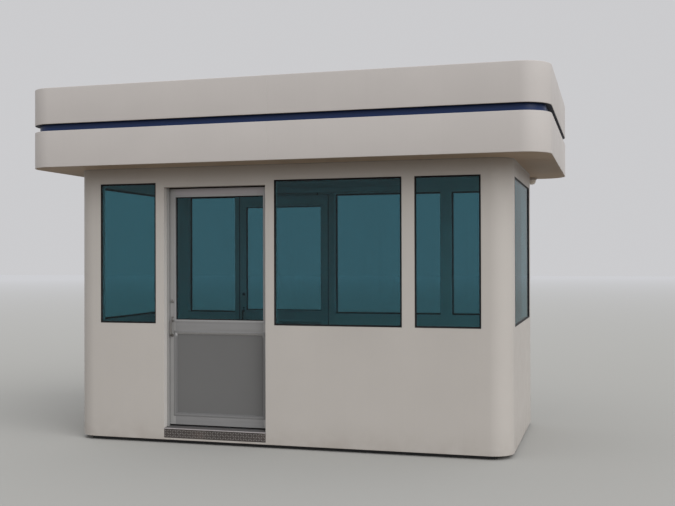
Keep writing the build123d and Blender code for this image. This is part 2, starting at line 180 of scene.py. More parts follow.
# Lighter tone for the top of the panel beads' slope: painted light against the mid rail's shadow
BEAD_SLOPE_LIT_TOP = (0.42, 0.42, 0.42)
DOOR_PANEL_GREY = (0.125, 0.125, 0.124)
TREAD_METAL = (0.066, 0.056, 0.052)
TREAD_WEAR = (0.14, 0.105, 0.09)
TREAD_MARK_METAL = (0.18, 0.17, 0.162)
FLOOR_GREY = (0.42, 0.415, 0.40)
SKID_BLACK = (0.012, 0.012, 0.013)
ROOF_GREY = (0.34, 0.34, 0.33)
STEEL = (0.20, 0.19, 0.18)
LOCK_METAL = (0.22, 0.21, 0.20)
# Black of the brush pile, which the keyways share as painted shade of their slots
PILE_AND_KEYWAY_SHADE_BLACK = (0.012, 0.010, 0.010)
# Threshold: a dark slope, painted shade under the leaf, and a light nosing, a painted highlight on
# its round front edge; both also carry grime
SILL_SHADED_METAL = (0.095, 0.09, 0.09)
SILL_NOSE = (0.37, 0.345, 0.345)
LENS_WHITE = (0.86, 0.84, 0.78)
NYLON_BLACK = (0.03, 0.03, 0.03)
SEALANT_GREY = (0.30, 0.285, 0.27)

# Glass: how much each pane bends the light, and its shine
GLASS_BEND = 1.3
END_GLASS_BEND = 1.03
GLASS_SPECULAR = 0.3

# Noises of the looks, as scale and detail
CLOUDS = (1.7, 4.0)
RUNS = (1.0, 5.0)
DUST = (7.0, 6.0)
GLOSS = (9.0, 4.0)
ORANGE_PEEL = (260.0, 2.0)
METAL_GRAIN = (60.0, 3.0)
GRIME = (5.0, 6.0)
TREAD_SPECKLE = (180.0, 3.0)
TREAD_RUB = (4.0, 3.0)
TREAD_PITS = (420.0, 2.0)
MOTTLE_DETAIL = 4.0
PITS_DETAIL = 2.0
PITS_FINENESS = 12

# How the noises are drawn out along X, Y and Z
RUN_STRETCH = (26, 26, 0.6)
UPRIGHT_BRUSHING = (1, 1, 0.02)
LEVEL_BRUSHING = (0.02, 1, 1)
HARDWARE_BRUSHING = (1, 1, 0.05)

# Where between 0 and 1 a noise's effect starts, and where it is whole
MIDDLE_SPAN = (0.3, 0.7)
RUN_SPAN = (0.52, 0.78)
DUST_SPAN = (0.32, 0.75)
GRIME_SPAN = (0.4, 0.7)
SPECKLE_SPAN = (0.35, 0.65)
RUB_SPAN = (0.5, 0.72)

# Strength of the effects: tones as shares of a colour, and bumps as strength and distance
CLOUD_TONES = (0.97, 1.025)
GRAIN_TONES = (0.94, 1.05)
SPECKLE_TONES = (0.75, 1.2)
MOTTLE_TONES = (0.88, 1.1)
DUST_SHARES = (0.02, 0.35)
DUST_TOP = 0.30
RUN_SHARE = 0.02
RUB_SHARE = 0.6
GRIME_TONE = 0.6
PAINT_ROUGHNESS_STEPS = (-0.05, 0.06)
METAL_ROUGHNESS_STEPS = (-0.06, 0.08)
PLAIN_ROUGHNESS_STEPS = (-0.05, 0.05)
TREAD_ROUGHNESS = (0.42, 0.62)
PAINT_BUMP = (0.06, 0.002)
TREAD_BUMP = (0.12, 0.001)
PLAIN_BUMP_DISTANCE = 0.001

# How far past a plane the cabin side's lighter colour, which is painted light, ends
INWARD_BLEND = (0.0005, 0.002)

# How far under the panel's top the slope of its beads turns lighter, as painted light against the
# mid rail's shadow
SLOPE_LIGHTENS = (0.045, 0.015)

# Stage, with angles in degrees
FLOOR_SIZE = 160
FLOOR_SEEN = (0.33, 0.325, 0.31)
FLOOR_FAR = (0.44, 0.44, 0.45)
FLOOR_BOUNCE = (0.18, 0.151, 0.122)
FLOOR_FADE = (6, 70)
SKY_SEEN = (0.60, 0.60, 0.615)
SKY_LIGHT = (0.97, 0.98, 1.0)
SKY_STRENGTH = 1.03
KEY_TURN = 52
KEY_RISE = 36
KEY_WIDTH = 60
KEY_STRENGTH = 2.1


# Places read from the model
def joined_to(start, seen):
    """The vertices that edges join to a first one. They are added to those seen."""
    seen.add(start.index)
    island = [start]
    for vert in island:
        for edge in vert.link_edges:
            other = edge.other_vert(vert)
            if other.index not in seen:
                seen.add(other.index)
                island.append(other)
    return island


def solid_boxes(node):
    """Boxes of a node's separate solids, in the order of their lowest corners."""
    bm = bmesh.new()
    bm.from_mesh(nodes[node].data)
    bmesh.ops.remove_doubles(bm, verts=bm.verts, dist=WELD_DISTANCE)
    bm.verts.ensure_lookup_table()
    seen = set()
    boxes = []
    for start in bm.verts:
        if start.index not in seen:
            island = joined_to(start, seen)
            low = Vector([min(vert.co[axis] for vert in island) for axis in range(3)])
            high = Vector([max(vert.co[axis] for vert in island) for axis in range(3)])
            boxes.append((low, high))
    bm.free()
    return sorted(boxes, key=lambda box: tuple(round(value, 4) for value in box[0]))


def front_box(node):
    """Box of the front one of a node's two solids."""
    return next(box for box in solid_boxes(node) if box[1].y < 0)


half_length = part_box("front_right_corner")[1].x
half_depth = -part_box("front_right_corner")[0].y
inner_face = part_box("front_low_walls")[1].y
wall = half_depth + inner_face
foot_z, soffit_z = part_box("front_right_corner")[0].z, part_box("front_right_corner")[1].z
floor_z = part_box("floor_deck")[1].z
doorway = (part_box("door_heads")[0].x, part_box("door_heads")[1].x)
door_head_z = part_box("door_heads")[0].z
tread_low, tread_high = front_box("tread_plates")

leaf_low, leaf_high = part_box("front_door_stiles")
leaf_face = -leaf_high.y
panel_face = -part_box("front_door_panel")[1].y
panel_top_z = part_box("front_door_panel")[1].z

gasket_boxes = solid_boxes("window_gaskets")
front_windows = [box for box in gasket_boxes if box[1].y < 0 and box[0].x > -half_length + wall]
end_window = next(box for box in gasket_boxes if box[0].x < -half_length + wall / 2)
sill_z, head_z = end_window[0].z, end_window[1].z
gasket_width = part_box("front_window_panes")[0].x - front_windows[0][0].x
gasket_depth = end_window[1].x - end_window[0].x
pane_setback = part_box("front_window_panes")[0].y + half_depth

canopy_x, canopy_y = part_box("lower_fascia")[1].x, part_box("lower_fascia")[1].y
fascia_wall = canopy_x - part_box("soffit_panel")[1].x
reveal_inset = canopy_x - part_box("reveal_band")[1].x


# Materials
def with_alpha(colour):
    return (*colour, 1.0)


def scaled(colour, factor):
    return tuple(channel * factor for channel in colour)


class Nodes:
    """Short ways to add and link the nodes of one tree."""

    def __init__(self, tree):
        self.tree = tree

    def add(self, kind, **values):
        node = self.tree.nodes.new(kind)
        for key, value in values.items():
            setattr(node, key, value)
        return node

    def link(self, source, target):
        self.tree.links.new(source, target)

    def place(self, stretch=(1, 1, 1)):
        """Coordinates in the model's frame, stretched."""
        where = self.add("ShaderNodeTexCoord")
        mapping = self.add("ShaderNodeMapping")
        mapping.inputs["Scale"].default_value = stretch
        self.link(where.outputs["Object"], mapping.inputs["Vector"])
        return mapping.outputs["Vector"]

    def along(self, axis):
        """One of the coordinates in the model's frame."""
        split = self.add("ShaderNodeSeparateXYZ")
        self.link(self.place(), split.inputs["Vector"])
        return split.outputs[axis]

    def noise(self, scale, detail, stretch=(1, 1, 1)):
        texture = self.add("ShaderNodeTexNoise")
        texture.inputs["Scale"].default_value = scale
        texture.inputs["Detail"].default_value = detail
        self.link(self.place(stretch), texture.inputs["Vector"])
        return texture.outputs["Fac"]

    def ranged(self, value, low, high, to_low=0.0, to_high=1.0):
        """A value mapped from one range to another, clamped."""
        node = self.add("ShaderNodeMapRange")
        node.inputs["From Min"].default_value = low
        node.inputs["From Max"].default_value = high
        node.inputs["To Min"].default_value = to_low
        node.inputs["To Max"].default_value = to_high
        self.link(value, node.inputs["Value"])
        return node.outputs["Result"]

    def combined(self, operation, *values, clamped=False):
        node = self.add("ShaderNodeMath", operation=operation, use_clamp=clamped)
        for value, socket in zip(values, node.inputs):
            self.link(value, socket)
        return node.outputs["Value"]

    def inward(self, plane):
        """1 on what lies no further from the middle, in depth, than a plane, and 0 elsewhere."""
        depth = self.combined("ABSOLUTE", self.along("Y"))
        start, end = INWARD_BLEND
        return self.ranged(depth, plane + start, plane + end, 1.0, 0.0)

    def mixed(self, factor, first, second):
        """Two colours or colour outputs mixed by a factor output."""
        node = self.add("ShaderNodeMix", data_type="RGBA")
        self.link(factor, node.inputs["Factor"])
        sockets = [socket for socket in node.inputs if socket.type == "RGBA"]
        for socket, colour in zip(sockets, (first, second)):
            if isinstance(colour, tuple):
                socket.default_value = with_alpha(colour)
            else:
                self.link(colour, socket)
        return next(socket for socket in node.outputs if socket.type == "RGBA")

    def toned(self, value, colour, tones):
        """A colour that goes from its darker to its lighter tone as a value goes from 0 to 1."""
        return self.mixed(value, scaled(colour, tones[0]), scaled(colour, tones[1]))

    def seen_ray(self):
        """1 where the camera looks, straight, by a reflection or through glass, and 0 for light."""
        rays = self.add("ShaderNodeLightPath").outputs
        total = self.combined("ADD", rays["Is Camera Ray"], rays["Is Glossy Ray"])
        return self.combined("ADD", total, rays["Is Transmission Ray"], clamped=True)


class Look(Nodes):
    """A new material's nodes, with the shader that they feed."""

    def __init__(self, name):
        self.material = bpy.data.materials.new(name)
        self.material.use_nodes = True
        super().__init__(self.material.node_tree)
        self.shader = self.tree.nodes["Principled BSDF"]

    def set(self, socket, value):
        self.shader.inputs[socket].default_value = value

    def feed(self, socket, source):
        self.link(source, self.shader.inputs[socket])

    def roughen(self, value, span, roughness, steps):
        """Roughness that a value takes from its lowest to its highest."""
        low, high = (roughness + step for step in steps)
        self.feed("Roughness", self.ranged(value, *span, low, high))

    def bump(self, heights, strength, distance):
        node = self.add("ShaderNodeBump")
        node.inputs["Strength"].default_value = strength
        node.inputs["Distance"].default_value = distance
        self.link(heights, node.inputs["Height"])
        self.feed("Normal", node.outputs["Normal"])


def paint(name, colour, roughness=0.5, dirt_top=0.0, streaks=0.0, specular=0.25, inside=None):
    """Sprayed paint: faint clouds, orange peel, dust towards the ground and faint runs down it.

    A lighter colour can take over on the cabin side, as painted light there.
    """
    look = Look(name)
    base = look.toned(look.ranged(look.noise(*CLOUDS), *MIDDLE_SPAN), colour, CLOUD_TONES)
    if inside:
        base = look.mixed(look.inward(panel_face), base, inside)
    if streaks:
        runs = look.ranged(look.noise(*RUNS, RUN_STRETCH), *RUN_SPAN, 0.0, streaks)
        base = look.mixed(runs, base, DIRT)
    if dirt_top:
        fade = look.ranged(look.along("Z"), foot_z, dirt_top, 1.0, 0.0)
        patches = look.ranged(look.noise(*DUST), *DUST_SPAN, *DUST_SHARES)
        fade = look.combined("MULTIPLY", fade, fade)
        base = look.mixed(look.combined("MULTIPLY", fade, patches), base, DIRT)
    look.feed("Base Color", base)
    look.roughen(look.noise(*GLOSS), MIDDLE_SPAN, roughness, PAINT_ROUGHNESS_STEPS)
    look.bump(look.noise(*ORANGE_PEEL), *PAINT_BUMP)
    look.set("Specular IOR Level", specular)
    return look.material


def metal(name, colour, roughness, stretch=(1, 1, 1), grime=0.0, metallic=0.3, clean=None,
          inside=None, plane=leaf_face, rise=(sill_z, door_head_z)):
    """Metal with a fine grain and, where asked, grime in patches.

    A lighter colour can take over up a rise, and another lighter one inside of a plane: both are
    painted light.
    """
    look = Look(name)
    grain = look.noise(*METAL_GRAIN, stretch)
    base = look.toned(look.ranged(grain, *MIDDLE_SPAN), colour, GRAIN_TONES)
    if clean:
        base = look.mixed(look.ranged(look.along("Z"), *rise), base, clean)
    if inside:
        base = look.mixed(look.inward(plane), base, inside)
    if grime:
        patches = look.ranged(look.noise(*GRIME), *GRIME_SPAN, 0.0, grime)
        base = look.mixed(patches, base, scaled(DIRT, GRIME_TONE))
    look.feed("Base Color", base)
    look.set("Metallic", metallic)
    look.roughen(grain, MIDDLE_SPAN, roughness, METAL_ROUGHNESS_STEPS)
    return look.material


def worn_tread(name):
    """Dirty, speckled metal with worn patches."""
    look = Look(name)
    speckle = look.ranged(look.noise(*TREAD_SPECKLE), *SPECKLE_SPAN)
    rubbed = look.ranged(look.noise(*TREAD_RUB), *RUB_SPAN, 0.0, RUB_SHARE)
    base = look.toned(speckle, TREAD_METAL, SPECKLE_TONES)
    look.feed("Base Color", look.mixed(rubbed, base, TREAD_WEAR))
    look.set("Metallic", 0.3)
    look.feed("Roughness", look.ranged(speckle, 0.0, 1.0, *TREAD_ROUGHNESS))
    look.bump(look.noise(*TREAD_PITS), *TREAD_BUMP)
    return look.material


def glass(name, tint, bend):
    """Thin tinted pane, which bends the light little and shines most at a slant."""
    look = Look(name)
    look.set("Base Color", with_alpha(tint))
    look.set("Roughness", 0.0)
    look.set("IOR", bend)
    look.set("Transmission Weight", 1.0)
    look.set("Specular IOR Level", GLASS_SPECULAR)
    return look.material


def plain(name, colour, roughness=0.6, grain=30.0, bump=0.0, specular=0.5):
    """Matt rubber, plastic or sheet with a slight mottle."""
    look = Look(name)
    mottle = look.ranged(look.noise(grain, MOTTLE_DETAIL), *MIDDLE_SPAN)
    look.feed("Base Color", look.toned(mottle, colour, MOTTLE_TONES))
    look.roughen(mottle, (0.0, 1.0), roughness, PLAIN_ROUGHNESS_STEPS)
    if bump:
        look.bump(look.noise(grain * PITS_FINENESS, PITS_DETAIL), bump, PLAIN_BUMP_DISTANCE)
    look.set("Specular IOR Level", specular)
    return look.material


def door_metal(name, colour, roughness=0.48, stretch=UPRIGHT_BRUSHING, grime=0.04, **more):
    """Brushed metal of the leaves, lighter on the cabin side as painted light there."""
    return metal(name, colour, roughness, stretch, grime, inside=CABIN_SIDE_LIT_METAL, **more)


# Finishes of the model's material slots
finishes = {
    "wall_paint": paint("wall_paint", WALL_PAINT, dirt_top=DUST_TOP, streaks=RUN_SHARE),
    "canopy_paint": paint("canopy_paint", CANOPY_PAINT, streaks=RUN_SHARE),
    "soffit_paint": paint("soffit_paint", SOFFIT_PAINT_WARM_BOUNCE, roughness=0.6),
    "blue_paint": paint("blue_paint", STRIPE_BLUE, roughness=0.35),
    "tinted_glass": glass("tinted_glass", GLASS_TINT, GLASS_BEND),
    "end_glass": glass("end_glass", END_GLASS_TINT, END_GLASS_BEND),
    "gasket_rubber": plain("gasket_rubber", GASKET_BLACK, 0.55, bump=0.2, specular=0.12),
    "door_aluminium": door_metal("door_aluminium", DOOR_METAL, roughness=0.46, grime=0.06),
    "door_panel_paint": paint("door_panel_paint", DOOR_PANEL_GREY, inside=CABIN_SIDE_LIT_PANEL),
    "tread_metal": worn_tread("tread_metal"),
    "floor_sheet": plain("floor_sheet", FLOOR_GREY, grain=14.0, bump=0.2),
    "skid_steel": plain("skid_steel", SKID_BLACK, bump=0.2),
    "roof_sheet": paint("roof_sheet", ROOF_GREY, roughness=0.8),
    "light_housing": plain("light_housing", LENS_WHITE, roughness=0.3, grain=12.0),
    "hardware_steel": metal("hardware_steel", STEEL, 0.34, HARDWARE_BRUSHING, metallic=0.6),
    "hanger_nylon": plain("hanger_nylon", NYLON_BLACK, roughness=0.4),
}

# Finishes of trims and of single faces
bead_finish = door_metal("bead_metal", BEAD_METAL)
# The panel's beads are darker than the glass's, as painted shade beside the recessed panel
shaded_panel_bead_finish = door_metal("panel_bead_shaded_metal", PANEL_BEAD_SHADED_METAL)
# The beads' slope turns lighter under the panel's top, as painted light against the mid rail's
# shadow
slope_lit_top_finish = door_metal("bead_slope_lit_top_metal", BEAD_SLOPE_METAL, roughness=0.55, metallic=0.2,
                          clean=BEAD_SLOPE_LIT_TOP, plane=panel_face,
                          rise=tuple(panel_top_z - drop for drop in SLOPE_LIGHTENS))
# The rails turn lighter towards the door head, which is painted light under the head's shade
rail_lit_top_finish = door_metal("rail_metal", RAIL_METAL, 0.46, LEVEL_BRUSHING, grime=0.06,
                         clean=RAIL_METAL_LIT_TOP)
lock_finish = metal("lock_metal", LOCK_METAL, roughness=0.35, metallic=0.4)
# Dark threshold slope as painted shade, and light nosing as a painted highlight
sill_shade_finish = metal("sill_shaded_metal", SILL_SHADED_METAL, 0.5, LEVEL_BRUSHING, grime=0.1)
nose_highlight_finish = metal("sill_nose_highlight", SILL_NOSE, 0.45, LEVEL_BRUSHING, grime=0.15)
# Lighter paint on the doorway reveals, which is painted light against their shade
lit_jamb_finish = paint("jamb_lit_paint", JAMB_LIT_PAINT)
mark_finish = metal("tread_marks", TREAD_MARK_METAL, roughness=0.5, grime=0.4)
lining_finish = paint("lining", LINING_PAINT, roughness=0.6)
channel_shade_finish = paint("channel_shade", CHANNEL_SHADE_BLACK, roughness=0.6, specular=0.2)
sealant_finish = plain("sealant", SEALANT_GREY, roughness=0.5, bump=0.2)
# The keyways take this black as painted shade of their slots
pile_and_keyway_shade_finish = plain("brush_pile_and_keyway_shade", PILE_AND_KEYWAY_SHADE_BLACK, roughness=0.8, bump=0.4, specular=0.1)

slot_of = {part["node"]: part["material_slot"] for part in frame["record"]["subparts"]}
for node, piece in nodes.items():
    piece.data.materials.clear()
    rail = node.endswith("door_rails")
    piece.data.materials.append(rail_lit_top_finish if rail else finishes[slot_of[node]])


# Mesh making
class Shape:
    """Points and faces gathered into one piece. A face's tone tells which finish it takes."""

    def __init__(self):
        self.points = []
        self.faces = []
        self.tones = []

    def rings(self, rings, wrap=False, second=()):
        """Skin through rings of points, closed into a loop of rings or capped at both ends.

        Strips that start at the corners named second take the piece's second finish.
        """
        count = len(rings[0])
        start = len(self.points)
        for ring in rings:
            self.points.extend(Vector(point) for point in ring)
        links = len(rings) if wrap else len(rings) - 1
        for step in range(links):
            here = start + step * count
            there = start + (step + 1) % len(rings) * count
            for corner in range(count):
                after = (corner + 1) % count
                self.faces.append((here + corner, here + after, there + after, there + corner))
                self.tones.append(int(corner in second))
        if not wrap:
            last = start + (len(rings) - 1) * count
            self.faces.append(tuple(start + corner for corner in reversed(range(count))))
            self.faces.append(tuple(last + corner for corner in range(count)))
            self.tones += [0, 0]
        return self

    def face(self, points, tone=0):
        start = len(self.points)
        self.points.extend(Vector(point) for point in points)
        self.faces.append(tuple(range(start, start + len(points))))
        self.tones.append(tone)

    def box(self, low, high):
        corners = ((low[0], low[1]), (high[0], low[1]), (high[0], high[1]), (low[0], high[1]))
        return self.rings([[(x, y, z) for x, y in corners] for z in (low[2], high[2])])

    def lathe(self, centre, outward, profile, sides=32):
        """Turned shape along an axis. The profile gives radius and height, from the foot up."""
        outward = Vector(outward).normalized()
        across = outward.orthogonal().normalized()
        other = outward.cross(across)
        turns = [2 * math.pi * side / sides for side in range(sides)]
        return self.rings([
            [
                Vector(centre) + outward * rise
                + (across * math.cos(turn) + other * math.sin(turn)) * radius
                for turn in turns
            ]
            for radius, rise in profile
        ])

    def extruded(self, profile, ends, second=()):
        """Profile in Y and Z drawn out along X."""
        return self.rings([[(x, y, z) for y, z in profile] for x in ends], second=second)

    def add(self, other, tone=0):
        """Take in another shape, as it is or all in one tone."""
        start = len(self.points)
        self.points.extend(other.points)
        self.faces.extend(tuple(start + index for index in face) for face in other.faces)
        self.tones += [tone] * len(other.faces) if tone else other.tones

    def opposite(self):
        """The same shape on the rear of the booth."""
        twin = Shape()
        twin.points = [Vector((point.x, -point.y, point.z)) for point in self.points]
        twin.faces = list(self.faces)
        twin.tones = list(self.tones)
        return twin


def make(shape, name, slot=None, finish=None, body="booth", replaces=(), edge=0.0, sharp=30,
         others=()):
    """Turn a shape into a piece that rides on a body, with rounded or sharp edges.

    Its finish is its slot's, unless another is given. The others are the finishes of the shape's
    second tone, third tone and so on.
    """
    mesh = bpy.data.meshes.new(name)
    mesh.from_pydata(shape.points, [], shape.faces)
    for polygon, tone in zip(mesh.polygons, shape.tones):
        polygon.material_index = tone
    bm = bmesh.new()
    bm.from_mesh(mesh)
    bmesh.ops.remove_doubles(bm, verts=bm.verts, dist=WELD_DISTANCE)
    bmesh.ops.recalc_face_normals(bm, faces=bm.faces)
    bm.to_mesh(mesh)
    bm.free()
    mesh.shade_smooth()
    piece = bpy.data.objects.new(name, mesh)
    bpy.context.scene.collection.objects.link(piece)
    for toned_finish in (finish or finishes[slot], *others):
        mesh.materials.append(toned_finish)
    if edge:
        round_edges(piece, edge)
    else:
        mesh.set_sharp_from_angle(angle=math.radians(sharp))
    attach(piece, body)
    if replaces:
        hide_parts(*replaces)


def round_edges(piece, width):
    bevel = piece.modifiers.new("edges", "BEVEL")
    bevel.width = width
    bevel.segments = ROUNDED_SEGMENTS
    bevel.limit_method = "ANGLE"
    bevel.angle_limit = math.radians(ROUNDED_ABOVE)
    bevel.harden_normals = True


def soften(node, width):
    """Round the edges of a CAD piece that stays."""
    piece = nodes[node]
    weld = piece.modifiers.new("weld", "WELD")
    weld.merge_threshold = WELD_DISTANCE
    if "custom_normal" in piece.data.attributes:
        piece.data.attributes.remove(piece.data.attributes["custom_normal"])
    piece.data.shade_smooth()
    round_edges(piece, width)


# Rounded rectangular plans
class Station:
    """Place on a plan's outline: where it is measured from, its outward direction and its side."""

    def __init__(self, anchor, normal, radius, side=None, along=0.0, dip=0.0):
        self.anchor = anchor
        self.normal = normal
        self.radius = radius
        self.side = side
        self.along = along
        self.dip = dip

    def at(self, inset, z):
        plan = self.anchor + self.normal * (self.radius - inset - self.dip)
        return Vector((plan.x, plan.y, z))


def outline(half_x, half_y, radius, breaks=((), (), (), ()), seam=0.0):
    """Stations round a plan: front, right, rear and left sides with breaks, and round corners.

    With a seam, the front and rear have a shallow groove at their middle.
    """
    stations = []
    for side in range(4):
        turn = math.pi / 2 * (side - 1)
        normal = Vector((math.cos(turn), math.sin(turn)))
        forward = Vector((-math.sin(turn), math.cos(turn)))
        out = (half_y if side % 2 == 0 else half_x) - radius
        reach = (half_x if side % 2 == 0 else half_y) - radius
        dips = {-reach: 0.0, reach: 0.0}
        dips.update({along: 0.0 for along in breaks[side]})
        if seam and side % 2 == 0:
            dips.update({-FASCIA_SEAM_WIDTH / 2: 0.0, 0.0: seam, FASCIA_SEAM_WIDTH / 2: 0.0})
        for along in sorted(dips):
            anchor = normal * out + forward * along
            stations.append(Station(anchor, normal, radius, side, along, dips[along]))
        centre = normal * out + forward * reach
        for step in range(1, ARC_STEPS):
            bend = turn + math.pi / 2 * step / ARC_STEPS
            stations.append(Station(centre, Vector((math.cos(bend), math.sin(bend))), radius))
    return stations


def band(stations, profile, second=()):
    """Closed profile of insets and heights carried round a plan."""
    rings = [[station.at(inset, z) for inset, z in profile] for station in stations]
    return Shape().rings(rings, wrap=True, second=second)


def cove(inset, z, reach):
    """Profile of a hollow quarter-round that fills the corner at an inset and a height.

    It goes inwards and up from there, or outwards and down with a reach below 0.
    """
    curve = [
        (inset + reach - reach * math.cos(math.radians(turn)),
         z + reach - reach * math.sin(math.radians(turn)))
        for turn in COVE_TURNS
    ]
    return [(inset, z), (inset, z + reach), *curve, (inset + reach, z)]


# Walls, with the tones of their faces
OUTSIDE, CABIN_SIDE, JAMB = range(3)
seat_depth = tread_high.y + half_depth
cut_depths = (0.0, seat_depth, wall)


def wall_stations():
    """Stations round the walls, with breaks at the sides of the windows and doorways."""
    front_breaks = set(doorway)
    for low, high in front_windows:
        front_breaks |= {low.x, high.x}
    end_breaks = {end_window[0].y, end_window[1].y}
    breaks = (
        sorted(front_breaks), sorted(end_breaks),
        sorted(-x for x in front_breaks), sorted(-y for y in end_breaks),
    )
    return outline(half_length, half_depth, CORNER_RADIUS, breaks)


def cut_depth(station, after, z):
    """Depth cut in from outside between two stations: none, the tread plate's, or the wall's."""
    if station.side is None or station.side != after.side:
        return 0.0
    middle = (station.along + after.along) / 2
    beside_glass = sill_z < z < head_z
    if station.side % 2:
        in_window = beside_glass and end_window[0].y < middle < end_window[1].y
        return wall if in_window else 0.0
    if station.side == 2:
        middle = -middle
    if doorway[0] < middle < doorway[1]:
        if floor_z < z < door_head_z:
            return wall
        return seat_depth if tread_low.z < z < floor_z else 0.0
    in_window = beside_glass and any(low.x < middle < high.x for low, high in front_windows)
    return wall if in_window else 0.0


def depth_steps(first, second):
    """Steps in depth between two neighbouring cells."""
    low, high = sorted((first, second))
    return [
        (shallow, deep) for shallow, deep in zip(cut_depths, cut_depths[1:])
        if low - SAME_DEPTH < shallow and deep < high + SAME_DEPTH
    ]


def side_tone(station, low, high):
    """Tone of a face across the wall, at a station and from one height to another."""
    # Doorway jamb faces take the lighter paint, which is painted light
    if floor_z <= low and high <= door_head_z and abs(station.along) in map(abs, doorway):
        return JAMB
    return CABIN_SIDE if sill_z <= low and high <= head_z else OUTSIDE


def wall_shell():
    """One seamless wall round the booth, of cells between two stations and two heights.

    Windows, doorways and tread plate seats are cells that are cut in.
    """
    stations = wall_stations()
    levels = [foot_z, tread_low.z, floor_z, sill_z, door_head_z, head_z, soffit_z]
    spans = list(zip(levels, levels[1:]))
    afters = stations[1:] + stations[:1]
    cuts = [
        [cut_depth(here, there, (low + high) / 2) for low, high in spans]
        for here, there in zip(stations, afters)
    ]
    shape = Shape()
    for here, there, cut, cut_before in zip(stations, afters, cuts, cuts[-1:] + cuts[:-1]):
        for (low, high), depth, depth_before in zip(spans, cut, cut_before):
            if depth < wall:
                for skin, tone in ((depth, OUTSIDE), (wall, CABIN_SIDE)):
                    shape.face([here.at(skin, low), there.at(skin, low),
                                there.at(skin, high), here.at(skin, high)], tone)
            for shallow, deep in depth_steps(depth, depth_before):
                shape.face([here.at(shallow, low), here.at(deep, low),
                            here.at(deep, high), here.at(shallow, high)],
                           side_tone(here, low, high))
        for z, below, above in zip(levels, [wall, *cut], [*cut, wall]):
            for shallow, deep in depth_steps(below, above):
                shape.face([here.at(shallow, z), there.at(shallow, z),
                            there.at(deep, z), here.at(deep, z)])
    make(
        shape, "walls", "wall_paint", edge=WALL_EDGE, others=(lining_finish, lit_jamb_finish),
        replaces=(
            "front_left_corner", "front_right_corner", "rear_left_corner", "rear_right_corner",
            "front_low_walls", "rear_low_walls", "left_low_wall", "right_low_wall",
            "front_window_posts", "rear_window_posts", "wall_headers", "door_heads", "door_sills",
        ),
    )


# Canopy
def rounded_profile(low_z, high_z, outer, inner, radius):
    """Section of a band whose two outer edges are round."""
    points = []
    for centre_z, first in ((low_z + radius, -90), (high_z - radius, 0)):
        for step in range(EDGE_STEPS + 1):
            turn = math.radians(first + 90 / EDGE_STEPS * step)
            points.append((outer + radius - radius * math.cos(turn),
                           centre_z + radius * math.sin(turn)))
    return points + [(inner, high_z), (inner, low_z)]


def canopy_bands():
    """The two painted bands, each with a seam at its middle, and the blue stripe between them."""
    seamed = outline(canopy_x, canopy_y, CANOPY_RADIUS, seam=FASCIA_SEAM_DEPTH)
    # The upper band's underside takes painted shade of the channel. The lower band's underside takes
    # the soffit paint with its painted warm bounce.
    undersides = {"lower_fascia": finishes["soffit_paint"], "upper_fascia": channel_shade_finish}
    for node, under_finish in undersides.items():
        low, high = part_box(node)
        section = rounded_profile(low.z, high.z, 0.0, fascia_wall, FASCIA_EDGE_RADIUS)
        underside = (len(section) - 1, 0, 1)
        make(band(seamed, section, underside), f"{node}_skin", "canopy_paint",
             replaces=(node,), sharp=25, others=(under_finish,))
    low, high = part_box("reveal_band")
    section = rounded_profile(low.z, high.z, reveal_inset, fascia_wall, REVEAL_EDGE)
    make(band(outline(canopy_x, canopy_y, CANOPY_RADIUS), section), "blue_reveal", "blue_paint",
         replaces=("reveal_band",), sharp=40)


def soffit_trims():
    """Sealant in the corner of walls and canopy, and the ceiling lining inside the cabin."""
    stations = outline(half_length, half_depth, CORNER_RADIUS)
    make(band(stations, cove(0.0, soffit_z, -SEALANT)), "soffit_seal", finish=sealant_finish,
         sharp=60)
    rings = [
        [station.at(wall, z) for station in stations] for z in (soffit_z - CEILING, soffit_z)
    ]
    make(Shape().rings(rings), "ceiling", finish=lining_finish, sharp=40)


def roof():
    """Coved edge and lapped seams of the roof covering."""
    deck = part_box("roof_deck")[1]
    shape = band(outline(canopy_x, canopy_y, CANOPY_RADIUS), cove(fascia_wall, deck.z, ROOF_COVE))
    lap_pitch = (deck.x - ROOF_COVE - CANOPY_RADIUS) * 2 / (ROOF_LAP_COUNT + 1)
    for lap in range(ROOF_LAP_COUNT):
        middle = (lap - (ROOF_LAP_COUNT - 1) / 2) * lap_pitch
        shape.box((middle - ROOF_LAP_WIDTH / 2, -deck.y + ROOF_COVE, deck.z),
                  (middle + ROOF_LAP_WIDTH / 2, deck.y - ROOF_COVE, deck.z + ROOF_LAP_HEIGHT))
    make(shape, "roof_laps", "roof_sheet", sharp=40)


# Frames that follow a rectangle, with mitred corners
def mitred(to_place, rectangle, profile, second=()):
    """Closed profile of offsets into a rectangle and rises from its plane, carried round it.

    A function made by on_front or on_end puts the points in their places.
    """
    left, right, low, high = rectangle
    rings = []
    for side, level in ((0, 0), (1, 0), (1, 1), (0, 1)):
        ring = []
        for offset, rise in profile:
            across = right - offset if side else left + offset
            up = high - offset if level else low + offset
            ring.append(to_place(across, up, rise))
        rings.append(ring)
    return Shape().rings(rings, wrap=True, second=second)


def on_front(face, outward):
    """Maker of points on a plane along the front, raised outwards."""
    return lambda across, up, rise: Vector((across, face + outward * rise, up))


def on_end(face, outward):
    """Maker of points on a plane along an end, raised outwards."""
    return lambda across, up, rise: Vector((face + outward * rise, across, up))


